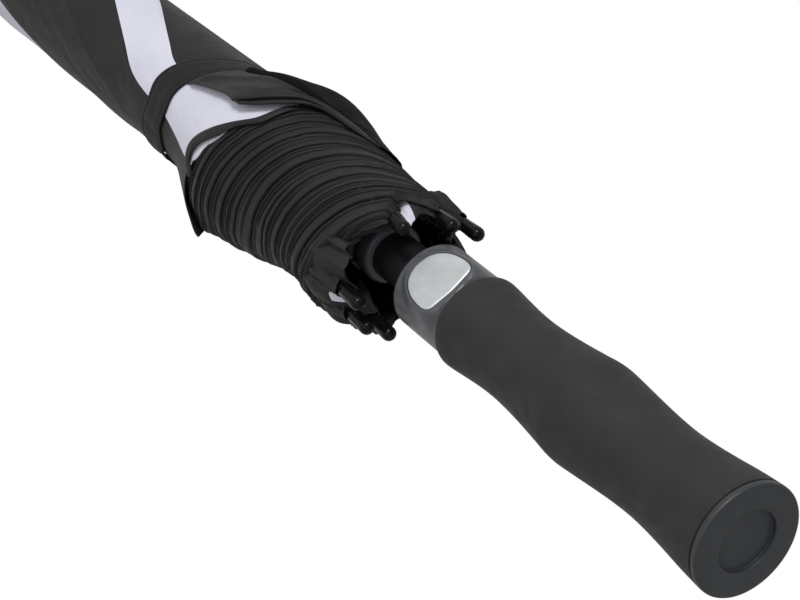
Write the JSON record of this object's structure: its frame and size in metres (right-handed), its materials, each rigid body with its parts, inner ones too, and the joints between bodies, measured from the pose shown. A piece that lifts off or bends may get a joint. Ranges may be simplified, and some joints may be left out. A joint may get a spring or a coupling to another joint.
{
  "type": "golf umbrella",
  "caption": "Closed and strapped golf umbrella with a waisted foam grip, a push button opener, a sliding runner, hinged ribs and stretchers, and a furled canopy.",
  "frame": {"origin": "centre of the butt end of the grip, on the shaft's axis", "axes": "+Z along the shaft from the butt to the ferrule; the push button faces -Y; closed and strapped"},
  "size_m": [0.078, 0.078, 1.0162],
  "materials": {
    "foam": "matte closed-cell EVA foam",
    "cap_plastic": "satin blue-black plastic",
    "collar_plastic": "satin blue-black plastic",
    "satin_metal": "satin brushed silver",
    "steel": "zinc plated",
    "shaft_finish": "black painted steel tube",
    "black_plastic": "moulded",
    "gloss_plastic": "polished moulded",
    "fibreglass": "pultruded rod",
    "pongee": "black woven pongee",
    "white_pongee": "white woven pongee"
  },
  "bodies": {
    "handle": {"end_cap": "cap_plastic", "handle_core": "black_plastic", "grip": "foam", "shaft": "shaft_finish", "collar": "collar_plastic", "notch": "black_plastic", "top_cap": "black_plastic", "ferrule": "gloss_plastic", "opening_spring": "steel", "button_spring": "steel"},
    "runner": {"runner": "black_plastic"},
    "button": {"push_button": "satin_metal", "latch_plate": "black_plastic"},
    "rib_1": {"rib_1": "fibreglass", "rib_tip_1": "gloss_plastic", "rib_clip_1": "black_plastic"},
    "stretcher_1": {"stretcher_1": "steel"},
    "gore_1": {"canopy_panel_1": "pongee"},
    "rib_2": {"rib_2": "fibreglass", "rib_tip_2": "gloss_plastic", "rib_clip_2": "black_plastic"},
    "stretcher_2": {"stretcher_2": "steel"},
    "gore_2": {"canopy_panel_2": "pongee"},
    "rib_3": {"rib_3": "fibreglass", "rib_tip_3": "gloss_plastic", "rib_clip_3": "black_plastic"},
    "stretcher_3": {"stretcher_3": "steel"},
    "gore_3": {"canopy_panel_3": "pongee"},
    "rib_4": {"rib_4": "fibreglass", "rib_tip_4": "gloss_plastic", "rib_clip_4": "black_plastic"},
    "stretcher_4": {"stretcher_4": "steel"},
    "gore_4": {"canopy_panel_4": "pongee"},
    "rib_5": {"rib_5": "fibreglass", "rib_tip_5": "gloss_plastic", "rib_clip_5": "black_plastic"},
    "stretcher_5": {"stretcher_5": "steel"},
    "gore_5": {"canopy_panel_5": "pongee"},
    "rib_6": {"rib_6": "fibreglass", "rib_tip_6": "gloss_plastic", "rib_clip_6": "black_plastic"},
    "stretcher_6": {"stretcher_6": "steel"},
    "gore_6": {"canopy_panel_6": "pongee"},
    "rib_7": {"rib_7": "fibreglass", "rib_tip_7": "gloss_plastic", "rib_clip_7": "black_plastic"},
    "stretcher_7": {"stretcher_7": "steel"},
    "gore_7": {"canopy_panel_7": "pongee"},
    "rib_8": {"rib_8": "fibreglass", "rib_tip_8": "gloss_plastic", "rib_clip_8": "black_plastic"},
    "stretcher_8": {"stretcher_8": "steel"},
    "gore_8": {"canopy_panel_8": "pongee"},
    "strap": {"strap": "pongee"}
  },
  "joints": [
    {"name": "runner_slide", "type": "slide", "parent": "handle", "child": "runner", "axis": [0, 0, 1], "range_m": [0, 0.3803], "deforming": ["opening_spring"]},
    {"name": "rib_hinge_1", "type": "hinge", "parent": "handle", "child": "rib_1", "pos_m": [0.00235, -0.01156, 0.96], "axis": [-0.9799, -0.1994, 0], "range_deg": [0, 61.21]},
    {"name": "stretcher_hinge_1", "type": "hinge", "parent": "rib_1", "child": "stretcher_1", "pos_m": [0.0035, -0.01647, 0.60154], "axis": [0.9799, 0.1994, 0], "range_deg": [0, 122.4]},
    {"name": "gore_fan_1", "type": "hinge", "parent": "rib_1", "child": "gore_1", "pos_m": [0.0036, -0.0177, 0.97691], "axis": [0.3827, -0.9238, 0.0138], "range_deg": [0, 39.51]},
    {"name": "rib_hinge_2", "type": "hinge", "parent": "handle", "child": "rib_2", "pos_m": [0.00984, -0.00651, 0.96], "axis": [-0.5519, -0.8339, 0], "range_deg": [0, 61.45]},
    {"name": "stretcher_hinge_2", "type": "hinge", "parent": "rib_2", "child": "stretcher_2", "pos_m": [0.01368, -0.00705, 0.60152], "axis": [0.5519, 0.8339, 0], "range_deg": [0, 122.89]},
    {"name": "gore_fan_2", "type": "hinge", "parent": "rib_2", "child": "gore_2", "pos_m": [0.01512, -0.01001, 0.97688], "axis": [0.9239, -0.3826, 0.0096], "range_deg": [0, 39.51]},
    {"name": "rib_hinge_3", "type": "hinge", "parent": "handle", "child": "rib_3", "pos_m": [0.01156, 0.00235, 0.96], "axis": [0.1994, -0.9799, 0], "range_deg": [0, 61.12]},
    {"name": "stretcher_hinge_3", "type": "hinge", "parent": "rib_3", "child": "stretcher_3", "pos_m": [0.01731, 0.002, 0.60155], "axis": [-0.1994, 0.9799, 0], "range_deg": [0, 122.23]},
    {"name": "gore_fan_3", "type": "hinge", "parent": "rib_3", "child": "gore_3", "pos_m": [0.01768, 0.0036, 0.97692], "axis": [0.9237, 0.3827, 0.0152], "range_deg": [0, 39.51]},
    {"name": "rib_hinge_4", "type": "hinge", "parent": "handle", "child": "rib_4", "pos_m": [0.00651, 0.00984, 0.96], "axis": [0.8339, -0.5519, 0], "range_deg": [0, 61.09]},
    {"name": "stretcher_hinge_4", "type": "hinge", "parent": "rib_4", "child": "stretcher_4", "pos_m": [0.00969, 0.01464, 0.60155], "axis": [-0.8339, 0.5519, 0], "range_deg": [0, 122.17]},
    {"name": "gore_fan_4", "type": "hinge", "parent": "rib_4", "child": "gore_4", "pos_m": [0.00995, 0.01503, 0.97692], "axis": [0.3825, 0.9238, 0.0157], "range_deg": [0, 39.51]},
    {"name": "rib_hinge_5", "type": "hinge", "parent": "handle", "child": "rib_5", "pos_m": [-0.00235, 0.01156, 0.96], "axis": [0.9799, 0.1994, 0], "range_deg": [0, 61.09]},
    {"name": "stretcher_hinge_5", "type": "hinge", "parent": "rib_5", "child": "stretcher_5", "pos_m": [-0.0035, 0.0172, 0.60155], "axis": [-0.9799, -0.1994, 0], "range_deg": [0, 122.17]},
    {"name": "gore_fan_5", "type": "hinge", "parent": "rib_5", "child": "gore_5", "pos_m": [-0.00359, 0.01767, 0.97692], "axis": [-0.3827, 0.9237, 0.0157], "range_deg": [0, 39.51]},
    {"name": "rib_hinge_6", "type": "hinge", "parent": "handle", "child": "rib_6", "pos_m": [-0.00984, 0.00651, 0.96], "axis": [0.5519, 0.8339, 0], "range_deg": [0, 61.34]},
    {"name": "stretcher_hinge_6", "type": "hinge", "parent": "rib_6", "child": "stretcher_6", "pos_m": [-0.015, 0.00636, 0.60154], "axis": [-0.5519, -0.8339, 0], "range_deg": [0, 122.66]},
    {"name": "gore_fan_6", "type": "hinge", "parent": "rib_6", "child": "gore_6", "pos_m": [-0.01509, 0.00999, 0.9769], "axis": [-0.9239, 0.3826, 0.0115], "range_deg": [0, 39.51]},
    {"name": "rib_hinge_7", "type": "hinge", "parent": "handle", "child": "rib_7", "pos_m": [-0.01156, -0.00235, 0.96], "axis": [-0.1994, 0.9799, 0], "range_deg": [0, 61.01]},
    {"name": "stretcher_hinge_7", "type": "hinge", "parent": "rib_7", "child": "stretcher_7", "pos_m": [-0.01811, -0.00168, 0.60156], "axis": [0.1994, -0.9799, 0], "range_deg": [0, 122]},
    {"name": "gore_fan_7", "type": "hinge", "parent": "rib_7", "child": "gore_7", "pos_m": [-0.01764, -0.00359, 0.97693], "axis": [-0.9237, -0.3827, 0.0172], "range_deg": [0, 39.51]},
    {"name": "rib_hinge_8", "type": "hinge", "parent": "handle", "child": "rib_8", "pos_m": [-0.00651, -0.00984, 0.96], "axis": [-0.8339, 0.5519, 0], "range_deg": [0, 61.23]},
    {"name": "stretcher_hinge_8", "type": "hinge", "parent": "rib_8", "child": "stretcher_8", "pos_m": [-0.01481, -0.01021, 0.6016], "axis": [0.8339, -0.5519, 0], "range_deg": [0, 122.45]},
    {"name": "gore_fan_8", "type": "hinge", "parent": "rib_8", "child": "gore_8", "pos_m": [-0.00997, -0.01507, 0.97691], "axis": [-0.3826, -0.9238, 0.0134], "range_deg": [0, 39.51]},
    {"name": "strap_peel", "type": "hinge", "parent": "gore_5", "child": "strap", "pos_m": [-0.00695, 0.03036, 0.3765], "axis": [0, 0, -1], "range_deg": [0, 90]},
    {"name": "button_press", "type": "slide", "parent": "handle", "child": "button", "axis": [0, 1, 0], "range_m": [0, 0.0025], "stiffness_N_per_m": 800, "springref_m": -0.001, "deforming": ["button_spring"]}
  ],
  "couplings": [
    {"joint": "rib_hinge_1", "follows": "runner_slide", "rad_per_m": 2.8085},
    {"joint": "stretcher_hinge_1", "follows": "runner_slide", "rad_per_m": 5.617},
    {"joint": "gore_fan_1", "follows": "runner_slide", "rad_per_m": 1.8126},
    {"joint": "rib_hinge_2", "follows": "runner_slide", "rad_per_m": 2.8197},
    {"joint": "stretcher_hinge_2", "follows": "runner_slide", "rad_per_m": 5.6395},
    {"joint": "gore_fan_2", "follows": "runner_slide", "rad_per_m": 1.8126},
    {"joint": "rib_hinge_3", "follows": "runner_slide", "rad_per_m": 2.8046},
    {"joint": "stretcher_hinge_3", "follows": "runner_slide", "rad_per_m": 5.6093},
    {"joint": "gore_fan_3", "follows": "runner_slide", "rad_per_m": 1.8126},
    {"joint": "rib_hinge_4", "follows": "runner_slide", "rad_per_m": 2.8032},
    {"joint": "stretcher_hinge_4", "follows": "runner_slide", "rad_per_m": 5.6064},
    {"joint": "gore_fan_4", "follows": "runner_slide", "rad_per_m": 1.8126},
    {"joint": "rib_hinge_5", "follows": "runner_slide", "rad_per_m": 2.8032},
    {"joint": "stretcher_hinge_5", "follows": "runner_slide", "rad_per_m": 5.6064},
    {"joint": "gore_fan_5", "follows": "runner_slide", "rad_per_m": 1.8126},
    {"joint": "rib_hinge_6", "follows": "runner_slide", "rad_per_m": 2.8145},
    {"joint": "stretcher_hinge_6", "follows": "runner_slide", "rad_per_m": 5.6289},
    {"joint": "gore_fan_6", "follows": "runner_slide", "rad_per_m": 1.8126},
    {"joint": "rib_hinge_7", "follows": "runner_slide", "rad_per_m": 2.7994},
    {"joint": "stretcher_hinge_7", "follows": "runner_slide", "rad_per_m": 5.5987},
    {"joint": "gore_fan_7", "follows": "runner_slide", "rad_per_m": 1.8126},
    {"joint": "rib_hinge_8", "follows": "runner_slide", "rad_per_m": 2.8095},
    {"joint": "stretcher_hinge_8", "follows": "runner_slide", "rad_per_m": 5.6191},
    {"joint": "gore_fan_8", "follows": "runner_slide", "rad_per_m": 1.8126}
  ]
}
